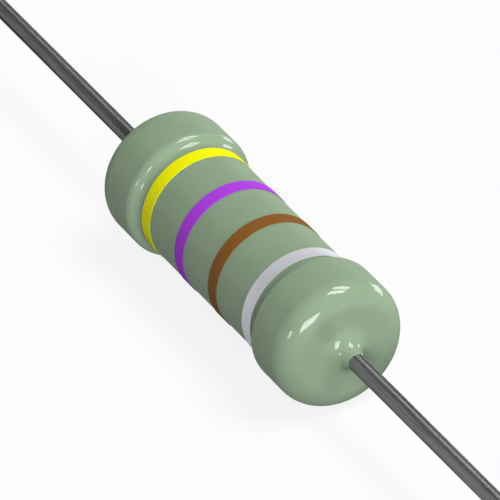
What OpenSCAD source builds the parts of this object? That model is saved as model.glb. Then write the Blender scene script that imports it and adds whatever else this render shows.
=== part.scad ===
// Axial wirewound power resistor with a painted dog-bone body and four colour bands.
// The leads lie along X, the origin is the middle of the body, and +X points to the tolerance band.

/* [Body] */
// Length of the painted body between its two flat end faces
body_len = 17.32; // [14:0.01:24]
// Rounding of the outer rim of each raised end
head_corner_r = 1.1; // [0.9:0.01:1.5]
// Rounding of the edge at the top of each shoulder
shoulder_edge_r = 0.5; // [0.3:0.01:0.8]
// Radius of the hollow at the foot of each shoulder
shoulder_foot_r = 0.58; // [0.3:0.01:0.9]

/* [Ceramic core] */
// Diameter of the ceramic rod
core_d = 4.8; // [3.6:0.01:6.4]

/* [End caps] */
// Sheet thickness of the pressed steel caps
cap_wall = 0.4; // [0.3:0.01:0.5]
// Outside length of each cap along the resistor
cap_len = 2.47; // [2.0:0.01:2.6]
// Outside rounding where a cap's skirt meets its end wall
cap_corner_r = 0.85; // [0.7:0.01:0.9]

/* [Winding] */
// Diameter of the resistance wire
wire_d = 0.045; // [0.03:0.001:0.08]
// Number of turns on the ceramic rod
turns = 34; // [16:1:40]
// Length along the rod over which each wire tail runs out from the last turn to its cap
tail_run = 0.6; // [0.4:0.01:0.9]
// Distance from the cap's rim to the spot weld of the wire tail
weld_inset = 0.35; // [0.25:0.01:0.5]

/* [Leads] */
// Diameter of the lead wires
lead_d = 0.8; // [0.6:0.01:1.0]
// Length of each lead beyond the end face of the body
lead_len = 32; // [10:0.1:38]
// Diameter to which each lead is upset where it is butt welded to its cap
weld_root_d = 1.4; // [1.2:0.01:1.8]
// Chamfer on the cut end of each lead
lead_chamfer = 0.06; // [0.02:0.01:0.15]

/* [Paint coat] */
// Paint thickness over the winding
coat_over_wire = 0.305; // [0.2:0.005:0.5]
// Paint thickness over the skirts of the caps
coat_over_cap = 0.37; // [0.25:0.01:0.6]
// Paint thickness over the end walls of the caps
coat_over_end = 0.35; // [0.25:0.01:0.6]
// How far the foot of each shoulder lies in front of the rim of the cap inside it
shoulder_run = 0.73; // [0.55:0.01:1.4]
// Radius of the hollow fillet of paint that climbs each lead
meniscus_r = 0.9; // [0.6:0.01:1.1]
// Paint thickness left at the top of that fillet
meniscus_lip = 0.06; // [0.04:0.01:0.12]

/* [Colour bands] */
// Width of each band
band_w = 0.755; // [0.5:0.005:1.2]
// Thickness of the printed ink
band_t = 0.02; // [0.01:0.001:0.04]
// Space between the outer bands and the shoulders
band_edge = 0.1; // [0.04:0.01:0.4]

/* [Fits] */
// Clearance between a cap and the ceramic rod
cap_fit = 0.01; // [0.005:0.001:0.02]
// How much larger the chamfer of the rod is than the inside rounding of the cap
chamfer_fit = 0.05; // [0.02:0.01:0.2]
// Clearance between the wire and what it lies on
wire_fit = 0.005; // [0.003:0.001:0.01]
// Clearance between the paint and the metal inside it
coat_fit = 0.01; // [0.005:0.001:0.02]
// Clearance between the paint and the ink on it
ink_fit = 0.012; // [0.011:0.001:0.02]

/* [Hidden] */
$fn = 96;

// Radii, from the core outward
core_r = core_d / 2;
cap_bore_r = core_r + cap_fit;
cap_r = cap_bore_r + cap_wall;
wire_r = wire_d / 2;
lead_r = lead_d / 2;
weld_root_r = weld_root_d / 2;

// Each turn of wire is a regular polygon whose flats clear the surface below
wire_steps = 24;
step_angle = 360 / wire_steps;
sagitta_scale = 1 / cos(step_angle / 2);
wire_on_core_r = (core_r + wire_fit) * sagitta_scale + wire_r;
wire_on_cap_r = (cap_r + wire_fit) * sagitta_scale + wire_r;

// Outside radii of the paint
waist_r = wire_on_core_r + wire_r + coat_fit + coat_over_wire;
head_r = cap_r + coat_fit + coat_over_cap;

// Stations along the axis, measured from the middle of the body
face_x = body_len / 2;
cap_face_x = face_x - coat_over_end;
cap_rim_x = cap_face_x - cap_len;
foot_x = cap_rim_x - shoulder_run;
core_end_x = cap_face_x - cap_wall - cap_fit;
core_chamfer = cap_corner_r - cap_wall + chamfer_fit;
lead_tip_x = face_x + lead_len;
paint_top_x = face_x + meniscus_r + meniscus_lip;

// A shoulder is a hollow arc that leaves the waist and runs on, tangent, into a round arc
arc_centres = shoulder_foot_r + shoulder_edge_r;
shoulder_x = foot_x + sqrt(pow(arc_centres, 2) - pow(arc_centres - (head_r - waist_r), 2));
corner_x = face_x - head_corner_r;

// The upset root of a lead narrows along an arc that is level with the lead where the paint ends
root_len = paint_top_x - cap_face_x;
root_flare = weld_root_r - lead_r;
root_arc_r = (pow(root_len, 2) + pow(root_flare, 2)) / (2 * root_flare);

// Wire tails: out from the last turn, up a straight tangent beside the rim, over it, and welded
tail_x = cap_rim_x - wire_r - wire_fit;
last_turn_x = tail_x - tail_run;
weld_x = cap_rim_x + weld_inset;
turn_angle = turns * 180;
run_out_angle = turn_angle + 270;
rise_angle = run_out_angle + acos(wire_on_core_r / wire_on_cap_r);
cross_angle = rise_angle + 2 * step_angle;
weld_angle = cross_angle + 2 * step_angle;
weld_flatten = 0.6;

// Hollow in the paint that the wire tails lie in
tail_hollow_r = wire_on_cap_r + wire_r + coat_fit;
tail_hollow_from = tail_x - wire_r - coat_fit;
tail_hollow_to = weld_x + wire_r / weld_flatten + coat_fit;

// Colour bands share the waist evenly, the outer ones beside the shoulders
band_outer_x = foot_x - band_edge;
band_pitch = (2 * band_outer_x - band_w) / 3;

// --- Helpers. Sections are drawn as (radius, distance along the axis). ---

module turned() {
    rotate([0, 90, 0]) rotate_extrude() children();
}

module both_ends() {
    children();
    mirror([0, 1, 0]) children();
}

// Rectangle from the axis out to radius r, between two stations
module disc_section(r, from, to) {
    translate([0, from]) square([r, to - from]);
}

// Same, with its far outer corner rounded
module rounded_section(r, from, to, corner) {
    disc_section(r, from, to - corner);
    disc_section(r - corner, from, to);
    translate([r - corner, to - corner]) circle(corner);
}

// Same, with its far outer corner chamfered
module chamfered_section(r, from, to, chamfer) {
    polygon([[0, from], [r, from], [r, to - chamfer], [r - chamfer, to], [0, to]]);
}

// Shaft of radius r that spreads along a hollow arc from station "to" down to station "from"
module flared_section(r, from, to, arc_r, grow = 0) {
    difference() {
        disc_section(r + arc_r, from, to);
        translate([r + arc_r, to]) circle(arc_r - grow);
    }
}

// --- Ceramic core ---

module ceramic_core() {
    color("ivory") turned() intersection() {
        chamfered_section(core_r, -core_end_x, core_end_x, core_chamfer);
        mirror([0, 1, 0]) chamfered_section(core_r, -core_end_x, core_end_x, core_chamfer);
    }
}

// --- End caps ---

module cap_section() {
    difference() {
        rounded_section(cap_r, cap_rim_x, cap_face_x, cap_corner_r);
        rounded_section(cap_bore_r, cap_rim_x - cap_wall, cap_face_x - cap_wall,
                        cap_corner_r - cap_wall);
    }
}

module end_cap() {
    color("silver") turned() cap_section();
}

module left_end_cap() { mirror([1, 0, 0]) end_cap(); }
module right_end_cap() { end_cap(); }

// --- Leads ---

module lead() {
    color("dimgray") turned() {
        flared_section(lead_r, cap_face_x, paint_top_x, root_arc_r);
        chamfered_section(lead_r, cap_face_x, lead_tip_x, lead_chamfer);
    }
}

module left_lead() { mirror([1, 0, 0]) lead(); }
module right_lead() { lead(); }

// --- Resistance wire ---

// Share of the way from a to b, held between 0 and 1
function share(t, a, b) = min(1, max(0, (t - a) / (b - a)));

// Station and radius of the wire's centre at t degrees from the middle of the winding
function wire_station(t) = last_turn_x * share(t, 0, turn_angle)
    + tail_run * share(t, turn_angle, run_out_angle)
    + (weld_x - tail_x) * share(t, rise_angle, cross_angle);
function wire_radius(t) = t <= run_out_angle ? wire_on_core_r
    : t < rise_angle ? wire_on_core_r / cos(t - run_out_angle) : wire_on_cap_r;

// The welded ends are pressed flat: lower and wider than the wire
function wire_flat(t) = 1 - (1 - weld_flatten) * share(t, cross_angle, weld_angle);

function wire_ring(angle) =
    let (t = abs(angle), x = wire_station(t) * sign(angle), flat = wire_flat(t),
         h = wire_r * flat, w = wire_r / flat, r = wire_radius(t) - wire_r + h)
    [for (p = [[0, r + h], [w, r], [0, r - h], [-w, r]])
        [x + p[0], p[1] * cos(angle), p[1] * sin(angle)]];

// Half of the ring angles: whole steps along the winding, then the stations of the tail
half_angles = concat([for (t = [step_angle : step_angle : run_out_angle]) t],
                     [(run_out_angle + rise_angle) / 2, rise_angle,
                      (rise_angle + cross_angle) / 2, cross_angle,
                      (cross_angle + weld_angle) / 2, weld_angle]);
ring_angles = concat([for (i = [len(half_angles) - 1 : -1 : 0]) -half_angles[i]], [0], half_angles);

module resistance_wire() {
    rings = len(ring_angles);
    sides = 4;
    points = [for (angle = ring_angles) each wire_ring(angle)];
    walls = [for (i = [0 : rings - 2], j = [0 : sides - 1])
        let (a = i * sides, b = a + sides, k = (j + 1) % sides)
        each [[a + j, a + k, b + k], [a + j, b + k, b + j]]];
    ends = [[for (j = [sides - 1 : -1 : 0]) j], [for (j = [0 : sides - 1]) (rings - 1) * sides + j]];
    color("lightsteelblue") polyhedron(points, concat(walls, ends));
}

// --- Paint coat ---

module shoulder_section() {
    foot_centre = [waist_r + shoulder_foot_r, foot_x];
    edge_centre = [head_r - shoulder_edge_r, shoulder_x];
    difference() {
        polygon([[0, foot_x], foot_centre, edge_centre, [0, shoulder_x]]);
        translate(foot_centre) circle(shoulder_foot_r);
    }
    translate(edge_centre) circle(shoulder_edge_r);
}

module coat_outline() {
    disc_section(waist_r, -shoulder_x, shoulder_x);
    both_ends() {
        shoulder_section();
        disc_section(head_r, shoulder_x, corner_x);
        rounded_section(head_r, shoulder_x, face_x, head_corner_r);
        flared_section(lead_r + meniscus_lip, face_x, face_x + meniscus_r, meniscus_r);
        rounded_section(lead_r + meniscus_lip, face_x, paint_top_x, meniscus_lip);
    }
}

module coat_cavity() {
    disc_section(waist_r - coat_over_wire, -cap_rim_x, cap_rim_x);
    both_ends() {
        disc_section(tail_hollow_r, tail_hollow_from, tail_hollow_to);
        rounded_section(cap_r + coat_fit, cap_rim_x - coat_fit, cap_face_x + coat_fit,
                        cap_corner_r + coat_fit);
        flared_section(lead_r, cap_face_x, paint_top_x, root_arc_r, coat_fit);
        disc_section(lead_r + coat_fit, cap_face_x, lead_tip_x);
    }
}

module coating() {
    color("darkseagreen") turned() difference() {
        coat_outline();
        coat_cavity();
    }
}

// --- Colour bands ---

// Band number i, counted from -X
module band(i, ink) {
    start_x = i * band_pitch - band_outer_x;
    color(ink) turned() translate([waist_r + ink_fit, start_x]) square([band_t, band_w]);
}

module band_yellow() { band(0, "yellow"); }
module band_violet() { band(1, "darkviolet"); }
module band_brown() { band(2, "saddlebrown"); }
module band_silver() { band(3, "lavender"); }

ceramic_core();
resistance_wire();
left_end_cap();
right_end_cap();
left_lead();
right_lead();
coating();
band_yellow();
band_violet();
band_brown();
band_silver();
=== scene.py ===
"""Looks of the axial wirewound power resistor: finish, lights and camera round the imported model.

Lengths are written in millimetres and scaled by MM, because Blender works in metres.
The resistor's axis is X, its middle is the origin, and +X points to the silver band.
"""

import math

import bpy
from mathutils import Matrix, Vector


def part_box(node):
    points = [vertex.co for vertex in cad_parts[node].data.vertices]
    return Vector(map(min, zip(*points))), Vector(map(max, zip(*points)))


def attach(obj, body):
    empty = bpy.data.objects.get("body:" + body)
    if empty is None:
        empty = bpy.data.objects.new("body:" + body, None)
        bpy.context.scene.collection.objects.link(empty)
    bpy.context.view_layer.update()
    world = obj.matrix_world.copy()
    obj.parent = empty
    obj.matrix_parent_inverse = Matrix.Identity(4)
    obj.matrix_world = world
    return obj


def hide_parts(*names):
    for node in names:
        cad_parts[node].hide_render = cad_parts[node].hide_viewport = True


MM = 0.001

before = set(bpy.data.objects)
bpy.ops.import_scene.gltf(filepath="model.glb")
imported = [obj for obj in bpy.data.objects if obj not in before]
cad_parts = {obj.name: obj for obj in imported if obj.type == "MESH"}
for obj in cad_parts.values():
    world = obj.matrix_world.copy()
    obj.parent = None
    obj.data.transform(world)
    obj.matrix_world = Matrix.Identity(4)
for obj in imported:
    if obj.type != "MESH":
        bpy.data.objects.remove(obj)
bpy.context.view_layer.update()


def box_mm(node):
    """Lowest and highest corner of a CAD node, in millimetres."""
    low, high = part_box(node)
    return Vector(low) / MM, Vector(high) / MM


# --- Sizes, in millimetres ---

# Read from the frame
PAINT_TOP_X = box_mm("coating")[1].x
HEAD_R = box_mm("coating")[1].z
LEAD_TIP_X = box_mm("right_lead")[1].x
CAP_FACE_X = box_mm("right_end_cap")[1].x
CAP_RIM_X = box_mm("right_end_cap")[0].x
CAP_R = box_mm("right_end_cap")[1].z
WIRE_R = box_mm("resistance_wire")[1].z

# Outside of the paint: waist, rounded rims, and the shoulders' two arcs
WAIST_R = 2.786
CORNER_R = 1.1
SHOULDER_EDGE_R = 0.46
SHOULDER_FOOT_R = 0.54
SHOULDER_RUN = 0.711

# Paint that climbs the lead: a hollow fillet, then a cone that runs out to a thin edge
MENISCUS_R = 0.9
MENISCUS_LIP = 0.06
MENISCUS_TAPER = math.radians(16)
MENISCUS_RUN = 0.913
FEATHER = 0.02
EDGE_RUN = 0.01

# Inside of the paint: its clearance, its cut corner, and the hollow round a cap's rim for the wire's tail
COAT_FIT = 0.01
INNER_CORNER = 0.55
RIM_HOLLOW = 0.08

# Ink
INK_FIT = 0.012
INK_T = 0.02

# Leads
LEAD_R = 0.4
WELD_ROOT_R = 0.7
LEAD_CHAMFER = 0.06

# Worked out
FACE_X = PAINT_TOP_X - MENISCUS_R - MENISCUS_LIP
PAINT_END_X = FACE_X + MENISCUS_RUN
FOOT_X = CAP_RIM_X - SHOULDER_RUN
ARC_CENTRES = SHOULDER_FOOT_R + SHOULDER_EDGE_R
SHOULDER_ANGLE = math.acos(1 - (HEAD_R - WAIST_R) / ARC_CENTRES)
SHOULDER_X = FOOT_X + ARC_CENTRES * math.sin(SHOULDER_ANGLE)

# Smoothness of the turned forms, and a quarter turn
SEGMENTS = 256
ARC_STEP = math.radians(4)
QUARTER = math.pi / 2


# --- Camera, as fitted to the photo: its direction, its distance and its offsets across the view ---

CAMERA_AZIMUTH = math.radians(61.03)
CAMERA_ELEVATION = math.radians(33.45)
CAMERA_DISTANCE = 360.04
CAMERA_RIGHT = -0.0233
CAMERA_UP = 0.2929
CAMERA_LENS = 582.05
CLIP_NEAR = 10
CLIP_FAR = 100000


def add_camera():
    sin_a, cos_a = math.sin(CAMERA_AZIMUTH), math.cos(CAMERA_AZIMUTH)
    sin_e, cos_e = math.sin(CAMERA_ELEVATION), math.cos(CAMERA_ELEVATION)
    right = Vector((cos_a, sin_a, 0))
    up = Vector((-sin_a * sin_e, cos_a * sin_e, cos_e))
    back = Vector((sin_a * cos_e, -cos_a * cos_e, sin_e))
    place = (right * CAMERA_RIGHT + up * CAMERA_UP + back * CAMERA_DISTANCE) * MM
    data = bpy.data.cameras.new("camera")
    data.lens = CAMERA_LENS
    data.clip_start = CLIP_NEAR * MM
    data.clip_end = CLIP_FAR * MM
    camera = bpy.data.objects.new("camera", data)
    camera.matrix_world = Matrix.Translation(place) @ Matrix((right, up, back)).transposed().to_4x4()
    bpy.context.collection.objects.link(camera)
    bpy.context.scene.camera = camera


# --- Turned forms. An outline is a list of (station along X, radius) in millimetres. ---


def arc(x, r, arc_r, start, end):
    """Points on an arc about (x, r), from one angle to another; 0 points along +X, 90 degrees outward."""
    steps = max(2, round(abs(end - start) / ARC_STEP))
    angles = [start + (end - start) * i / steps for i in range(steps + 1)]
    return [(x + arc_r * math.cos(a), r + arc_r * math.sin(a)) for a in angles]


def mirrored(outline):
    """The same outline seen from the other end, in the order that joins on."""
    return [(-x, r) for x, r in reversed(outline)]


def turn(name, outline, closed):
    """Turns an outline about X. A closed outline is a ring; an open one starts and ends on the axis."""
    rings = outline if closed else outline[1:-1]
    verts = []
    for x, r in rings:
        for i in range(SEGMENTS):
            a = 2 * math.pi * i / SEGMENTS
            verts.append((x * MM, r * MM * math.cos(a), r * MM * math.sin(a)))
    faces = []
    for k in range(len(rings) if closed else len(rings) - 1):
        here, there = k * SEGMENTS, (k + 1) % len(rings) * SEGMENTS
        for i in range(SEGMENTS):
            j = (i + 1) % SEGMENTS
            faces.append((here + i, there + i, there + j, here + j))
    if not closed:
        start_tip, end_tip = len(verts), len(verts) + 1
        verts += [(outline[0][0] * MM, 0, 0), (outline[-1][0] * MM, 0, 0)]
        last_ring = (len(rings) - 1) * SEGMENTS
        for i in range(SEGMENTS):
            j = (i + 1) % SEGMENTS
            faces.append((start_tip, i, j))
            faces.append((end_tip, last_ring + j, last_ring + i))
    mesh = bpy.data.meshes.new(name)
    mesh.from_pydata(verts, [], faces)
    mesh.validate()
    mesh.update()
    piece = bpy.data.objects.new(name, mesh)
    bpy.context.collection.objects.link(piece)
    return piece


def finish_piece(piece, material, node):
    """Smooth shading, material, and the piece's place in the frame."""
    piece.data.materials.append(material)
    piece.data.shade_smooth()
    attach(piece, "root")
    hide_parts(node)


def paint_outline():
    """The coat's section: outside from waist to lead, inside from lead to winding, and both mirrored."""
    edge_r = HEAD_R - SHOULDER_EDGE_R
    fillet_r = LEAD_R + MENISCUS_LIP + MENISCUS_R
    outside = [(0, WAIST_R)]
    outside += arc(FOOT_X, WAIST_R + SHOULDER_FOOT_R, SHOULDER_FOOT_R, -QUARTER, SHOULDER_ANGLE - QUARTER)
    outside += arc(SHOULDER_X, edge_r, SHOULDER_EDGE_R, QUARTER + SHOULDER_ANGLE, QUARTER)[1:]
    outside += arc(FACE_X - CORNER_R, HEAD_R - CORNER_R, CORNER_R, QUARTER, 0)
    outside += arc(FACE_X + MENISCUS_R, fillet_r, MENISCUS_R, 2 * QUARTER, 3 * QUARTER - MENISCUS_TAPER)
    outside += [
        (PAINT_END_X - EDGE_RUN, LEAD_R + FEATHER + EDGE_RUN * math.tan(MENISCUS_TAPER)),
        (PAINT_END_X, LEAD_R + FEATHER),
    ]
    inside = [
        (PAINT_END_X, LEAD_R + COAT_FIT),
        (CAP_FACE_X + COAT_FIT, WELD_ROOT_R + COAT_FIT),
        (CAP_FACE_X + COAT_FIT, CAP_R - INNER_CORNER),
        (CAP_FACE_X - INNER_CORNER, CAP_R + COAT_FIT),
        (CAP_RIM_X, CAP_R + RIM_HOLLOW),
        (CAP_RIM_X - RIM_HOLLOW, WIRE_R + COAT_FIT),
    ]
    return mirrored(outside)[:-1] + outside + inside + mirrored(inside)


def add_paint(material):
    piece = turn("paint_coat", paint_outline(), closed=True)
    finish_piece(piece, material, "coating")


def add_band(node, material):
    """A thin ring of ink with rounded edges, as long as the band in the frame."""
    low, high = box_mm(node)
    inner = WAIST_R + INK_FIT
    assert abs(inner + INK_T - high.z) < INK_T, "the band's radius has moved"
    outline = [(low.x, inner)]
    outline += arc(low.x + INK_T, inner, INK_T, 2 * QUARTER, QUARTER)[1:]
    outline += arc(high.x - INK_T, inner, INK_T, QUARTER, 0)
    piece = turn(node + "_ink", outline, closed=True)
    finish_piece(piece, material, node)


def add_lead(side, node, material):
    """A lead from its flared weld root on the cap to its chamfered tip; side is 1 for +X and -1 for -X."""
    root_len = PAINT_TOP_X - CAP_FACE_X
    flare = WELD_ROOT_R - LEAD_R
    root_arc_r = (root_len ** 2 + flare ** 2) / (2 * flare)
    sweep = math.asin(root_len / root_arc_r)
    outline = [(CAP_FACE_X, 0)]
    outline += arc(PAINT_TOP_X, LEAD_R + root_arc_r, root_arc_r, -QUARTER - sweep, -QUARTER)
    outline += [(LEAD_TIP_X - LEAD_CHAMFER, LEAD_R), (LEAD_TIP_X, LEAD_R - LEAD_CHAMFER), (LEAD_TIP_X, 0)]
    if side < 0:
        outline = mirrored(outline)
    piece = turn(node + "_wire", outline, closed=False)
    finish_piece(piece, material, node)


# --- Shader nodes. A helper that takes the tree adds its nodes there and returns their output. ---

# Nearly all of a noise lies between these
NOISE_LOW = 0.3
NOISE_HIGH = 0.7


def set_inputs(node, values):
    """Sets constants on a node's sockets, by name."""
    for name, value in values.items():
        node.inputs[name].default_value = value


def object_coordinates(tree, factors=(1, 1, 1)):
    """Object coordinates in millimetres, each times the factor of its axis."""
    place = tree.nodes.new("ShaderNodeTexCoord")
    scale = tree.nodes.new("ShaderNodeMapping")
    set_inputs(scale, {"Scale": [factor / MM for factor in factors]})
    tree.links.new(place.outputs["Object"], scale.inputs["Vector"])
    return scale.outputs["Vector"]


def noise(tree, vector, per_mm, detail=2.0, rough=0.5):
    node = tree.nodes.new("ShaderNodeTexNoise")
    set_inputs(node, {"Scale": per_mm, "Detail": detail, "Roughness": rough})
    tree.links.new(vector, node.inputs["Vector"])
    return node.outputs["Fac"]


def map_range(tree, value, low, high, at_low, at_high, kind="LINEAR"):
    """Maps low to high onto at_low to at_high."""
    node = tree.nodes.new("ShaderNodeMapRange")
    node.interpolation_type = kind
    set_inputs(node, {"From Min": low, "From Max": high, "To Min": at_low, "To Max": at_high})
    tree.links.new(value, node.inputs["Value"])
    return node.outputs["Result"]


def spread(tree, value, low, high):
    """Maps a noise onto low to high."""
    return map_range(tree, value, NOISE_LOW, NOISE_HIGH, low, high)


def combine(tree, operation, a, b):
    node = tree.nodes.new("ShaderNodeMath")
    node.operation = operation
    tree.links.new(a, node.inputs[0])
    tree.links.new(b, node.inputs[1])
    return node.outputs["Value"]


def blend_colour(tree, factor, a, b):
    node = tree.nodes.new("ShaderNodeMix")
    node.data_type = "RGBA"
    set_inputs(node, {"A": (*a, 1), "B": (*b, 1)})
    tree.links.new(factor, node.inputs["Factor"])
    return node.outputs["Result"]


def shaded(tree, factor, colour, low, high):
    """The colour times low to high, as the factor goes from 0 to 1."""
    return blend_colour(tree, factor, [c * low for c in colour], [c * high for c in colour])


def bump(tree, height, strength, depth_mm):
    node = tree.nodes.new("ShaderNodeBump")
    set_inputs(node, {"Strength": strength, "Distance": depth_mm * MM})
    tree.links.new(height, node.inputs["Height"])
    return node.outputs["Normal"]


def is_seen(tree):
    """1 for camera, glossy and transmission rays, 0 for the rest."""
    rays = tree.nodes.new("ShaderNodeLightPath").outputs
    either = combine(tree, "MAXIMUM", rays["Is Camera Ray"], rays["Is Glossy Ray"])
    return combine(tree, "MAXIMUM", either, rays["Is Transmission Ray"])


# --- Materials ---

PAINT_GREEN = (0.29, 0.40, 0.262)
LEAD_DARK = (0.156, 0.16, 0.159)
LEAD_PALE = (0.234, 0.238, 0.234)

# Each band's node, ink, colour and share of metal
INKS = [
    ("band_yellow", "yellow_ink", (0.98, 0.97, 0.006), 0),
    ("band_violet", "violet_ink", (0.46, 0.058, 0.80), 0),
    ("band_brown", "brown_ink", (0.265, 0.113, 0.025), 0),
    ("band_silver", "silver_ink", (0.77, 0.775, 0.83), 0.25),
]

CERAMIC_WHITE = (0.80, 0.77, 0.70)
ALLOY_GREY = (0.46, 0.46, 0.47)
STEEL_GREY = (0.60, 0.60, 0.58)

# High, and used at a low weight, so that highlights stay bright and rims don't turn white
SKIN_IOR = 3


def new_material(name):
    """A material, its node tree and its principled shader."""
    material = bpy.data.materials.new(name)
    material.use_nodes = True
    tree = material.node_tree
    return material, tree, tree.nodes["Principled BSDF"]


def link_surface(tree, shader, colour, roughness, normal):
    tree.links.new(colour, shader.inputs["Base Color"])
    tree.links.new(roughness, shader.inputs["Roughness"])
    tree.links.new(normal, shader.inputs["Normal"])


def add_skin(shader, weight, roughness):
    """A clear skin takes the place of the base's own gloss."""
    set_inputs(shader, {"Specular IOR Level": 0.0, "Coat IOR": SKIN_IOR})
    set_inputs(shader, {"Coat Weight": weight, "Coat Roughness": roughness})


def paint_material():
    """Dipped flameproof paint: an even pigment with faint clouds, under a smooth skin."""
    material, tree, shader = new_material("green_paint")
    mm = object_coordinates(tree)
    clouds = spread(tree, noise(tree, mm, per_mm=0.7, detail=3), 0, 1)
    colour = shaded(tree, clouds, PAINT_GREEN, 0.975, 1.025)
    roughness = spread(tree, noise(tree, mm, per_mm=3), 0.30, 0.36)
    peel = bump(tree, noise(tree, mm, per_mm=1.8, detail=1), strength=0.1, depth_mm=0.01)
    link_surface(tree, shader, colour, roughness, peel)
    tree.links.new(peel, shader.inputs["Coat Normal"])
    add_skin(shader, weight=0.135, roughness=0.07)
    return material


def ink_material(name, colour, metallic):
    """Printed ink: pigment grain in the colour, under a skin fainter than the paint's."""
    material, tree, shader = new_material(name)
    mm = object_coordinates(tree)
    grain = spread(tree, noise(tree, mm, per_mm=6, detail=3, rough=0.6), 0, 1)
    ink = shaded(tree, grain, colour, 0.96, 1.04)
    roughness = spread(tree, noise(tree, mm, per_mm=4), 0.30, 0.38)
    relief = bump(tree, noise(tree, mm, per_mm=5, detail=2), strength=0.1, depth_mm=0.005)
    link_surface(tree, shader, ink, roughness, relief)
    set_inputs(shader, {"Metallic": metallic})
    add_skin(shader, weight=0.035, roughness=0.1)
    return material


def lead_material():
    """Tinned wire, dulled to grey, with fine lines along its length from drawing."""
    material, tree, shader = new_material("lead_metal")
    lines = object_coordinates(tree, factors=(0.35, 7, 7))
    flecks = object_coordinates(tree, factors=(1.2, 3, 3))
    tone = spread(tree, noise(tree, lines, per_mm=1, detail=4, rough=0.6), 0, 1)
    colour = blend_colour(tree, tone, LEAD_DARK, LEAD_PALE)
    roughness = spread(tree, noise(tree, flecks, per_mm=1, detail=3), 0.36, 0.42)
    scratches = bump(tree, noise(tree, lines, per_mm=1, detail=4), strength=0.08, depth_mm=0.01)
    link_surface(tree, shader, colour, roughness, scratches)
    set_inputs(shader, {"Metallic": 0.65, "Specular IOR Level": 0.0})
    set_inputs(shader, {"Anisotropic": 1.0, "Anisotropic Rotation": 0.25})
    # A black tint darkens the metal where it turns away
    set_inputs(shader, {"Specular Tint": (0, 0, 0, 1)})
    around = tree.nodes.new("ShaderNodeTangent")
    around.direction_type = "RADIAL"
    around.axis = "X"
    tree.links.new(around.outputs["Tangent"], shader.inputs["Tangent"])
    return material


def hidden_material(name, colour, metallic, rough, per_mm, factors=(1, 1, 1)):
    """A sealed inner piece: one base tone with its own grain."""
    material, tree, shader = new_material(name)
    mm = object_coordinates(tree, factors)
    grain = spread(tree, noise(tree, mm, per_mm, detail=4, rough=0.6), 0, 1)
    tone = shaded(tree, grain, colour, 0.9, 1.06)
    roughness = spread(tree, grain, rough - 0.05, rough + 0.08)
    link_surface(tree, shader, tone, roughness, bump(tree, grain, strength=0.2, depth_mm=0.01))
    set_inputs(shader, {"Metallic": metallic})
    return material


def dress(node, material):
    """Gives a CAD node, which keeps its shape, a better material."""
    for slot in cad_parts[node].material_slots:
        slot.material = material


# --- Floor and world ---

# The raised ends rest on the floor. Its tone is dark, so the lamps add little to it. It glows where it is
# seen, straight or in a reflection, but puts no diffuse light on the object. The glow rises with distance,
# as the lamps' light fades out, so that all of the floor looks white.
FLOOR_SIZE = 6000
FLOOR_TONE = 0.14
FLOOR_GLOW = 0.85
FLOOR_LIT = 300
FLOOR_UNLIT = 1000

# Strength of the world's light, and of the backdrop at the horizon and below it. Above, the backdrop
# fades to the world's strength at a height that is given as the sine of its angle.
WORLD_LEVEL = 0.06
BACKDROP_LEVEL = 0.98
BACKDROP_TOP = 0.42


def floor_material():
    """A dim diffuse floor that takes the shadow, plus a glow that makes it pale."""
    material = bpy.data.materials.new("floor")
    material.use_nodes = True
    tree = material.node_tree
    tree.nodes.clear()
    diffuse = tree.nodes.new("ShaderNodeBsdfDiffuse")
    set_inputs(diffuse, {"Color": (FLOOR_TONE, FLOOR_TONE, FLOOR_TONE, 1)})
    reach = tree.nodes.new("ShaderNodeVectorMath")
    reach.operation = "LENGTH"
    tree.links.new(object_coordinates(tree), reach.inputs["Vector"])
    distance = reach.outputs["Value"]
    level = map_range(tree, distance, FLOOR_LIT, FLOOR_UNLIT, FLOOR_GLOW, BACKDROP_LEVEL, "SMOOTHSTEP")
    glow = tree.nodes.new("ShaderNodeEmission")
    tree.links.new(combine(tree, "MULTIPLY", is_seen(tree), level), glow.inputs["Strength"])
    both = tree.nodes.new("ShaderNodeAddShader")
    tree.links.new(diffuse.outputs["BSDF"], both.inputs[0])
    tree.links.new(glow.outputs["Emission"], both.inputs[1])
    out = tree.nodes.new("ShaderNodeOutputMaterial")
    tree.links.new(both.outputs["Shader"], out.inputs["Surface"])
    return material


def add_floor():
    """A pale floor that shows white and keeps the object's soft shadow."""
    half = FLOOR_SIZE * MM / 2
    z = -HEAD_R * MM
    mesh = bpy.data.meshes.new("floor")
    corners = [(-half, -half, z), (half, -half, z), (half, half, z), (-half, half, z)]
    mesh.from_pydata(corners, [], [(0, 1, 2, 3)])
    mesh.materials.append(floor_material())
    floor = bpy.data.objects.new("floor", mesh)
    bpy.context.collection.objects.link(floor)


def set_world():
    """A dim studio whose backdrop is as pale as the floor at the horizon and fades overhead."""
    world = bpy.data.worlds.new("studio")
    world.use_nodes = True
    tree = world.node_tree
    direction = tree.nodes.new("ShaderNodeTexCoord")
    parts = tree.nodes.new("ShaderNodeSeparateXYZ")
    tree.links.new(direction.outputs["Generated"], parts.inputs["Vector"])
    height = parts.outputs["Z"]
    backdrop = map_range(tree, height, 0, BACKDROP_TOP, BACKDROP_LEVEL, WORLD_LEVEL, "SMOOTHSTEP")
    strength = tree.nodes.new("ShaderNodeMix")
    set_inputs(strength, {"A": WORLD_LEVEL})
    tree.links.new(is_seen(tree), strength.inputs["Factor"])
    tree.links.new(backdrop, strength.inputs["B"])
    background = tree.nodes["Background"]
    set_inputs(background, {"Color": (1, 1, 1, 1)})
    tree.links.new(strength.outputs["Result"], background.inputs["Strength"])
    bpy.context.scene.world = world


# --- Lights ---

LIGHT_DISTANCE = 500

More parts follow.
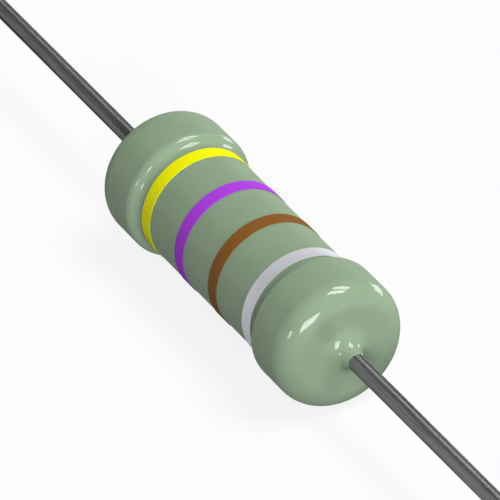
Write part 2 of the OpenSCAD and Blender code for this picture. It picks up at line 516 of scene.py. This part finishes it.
# Each stands where the highlights of the photo put it; the two fills only brighten the shade.
# Name, azimuth and elevation to the light, width and height of the panel, its turn (degrees), radiance
LIGHTS = [
    ("key", 70, 15.8, 28, 18.3, 0, 12.1),
    ("top_near", 131, 64.7, 10, 27, 14, 13.1),
    ("top_far", 167, 64.4, 10, 27, -25, 12.7),
    ("back", -169, 9, 26, 13, 0, 10.5),
    ("low", 22.7, 11.6, 11, 10, 0, 8.6),
    ("fill", 95, 10, 70, 60, 0, 0.38),
    ("far_fill", -105, 18, 70, 36, 0, 1),
]


def panel_size(angle):
    """Side of a panel that looks that wide from the object, in metres."""
    return 2 * LIGHT_DISTANCE * MM * math.tan(math.radians(angle / 2))


def add_light(name, azimuth, elevation, width, height, turn_angle, radiance):
    """A panel that looks that wide and high from the object, and faces it. Radiance 1 is white.

    A panel that is no brighter than white only fills the shade and leaves no patch in the reflections.
    """
    a, e = math.radians(azimuth), math.radians(elevation)
    towards = Vector((math.sin(a) * math.cos(e), -math.cos(a) * math.cos(e), math.sin(e)))
    across = Vector((math.cos(a), math.sin(a), 0))
    up = towards.cross(across)
    data = bpy.data.lights.new(name, "AREA")
    data.shape = "RECTANGLE"
    data.size = panel_size(width)
    data.size_y = panel_size(height)
    # A flat panel gives off pi times its radiance times its area
    data.energy = math.pi * radiance * data.size * data.size_y
    lamp = bpy.data.objects.new(name, data)
    lamp.visible_glossy = radiance > 1
    facing = Matrix((across, up, towards)).transposed() @ Matrix.Rotation(math.radians(turn_angle), 3, "Z")
    lamp.matrix_world = Matrix.Translation(towards * LIGHT_DISTANCE * MM) @ facing.to_4x4()
    bpy.context.collection.objects.link(lamp)


# --- The scene ---

add_camera()

add_paint(paint_material())
for node, slot, colour, metallic in INKS:
    add_band(node, ink_material(slot, colour, metallic))
lead_metal = lead_material()
add_lead(-1, "left_lead", lead_metal)
add_lead(1, "right_lead", lead_metal)

dress("ceramic_core", hidden_material("core_ceramic", CERAMIC_WHITE, metallic=0, rough=0.6, per_mm=2.5))
dress("resistance_wire", hidden_material("resistance_alloy", ALLOY_GREY, metallic=1, rough=0.35, per_mm=12))
cap_steel = hidden_material("cap_steel", STEEL_GREY, metallic=1, rough=0.32, per_mm=1, factors=(1, 6, 6))
dress("left_end_cap", cap_steel)
dress("right_end_cap", cap_steel)

add_floor()
set_world()
for light in LIGHTS:
    add_light(*light)

bpy.context.scene.view_settings.view_transform = "Standard"
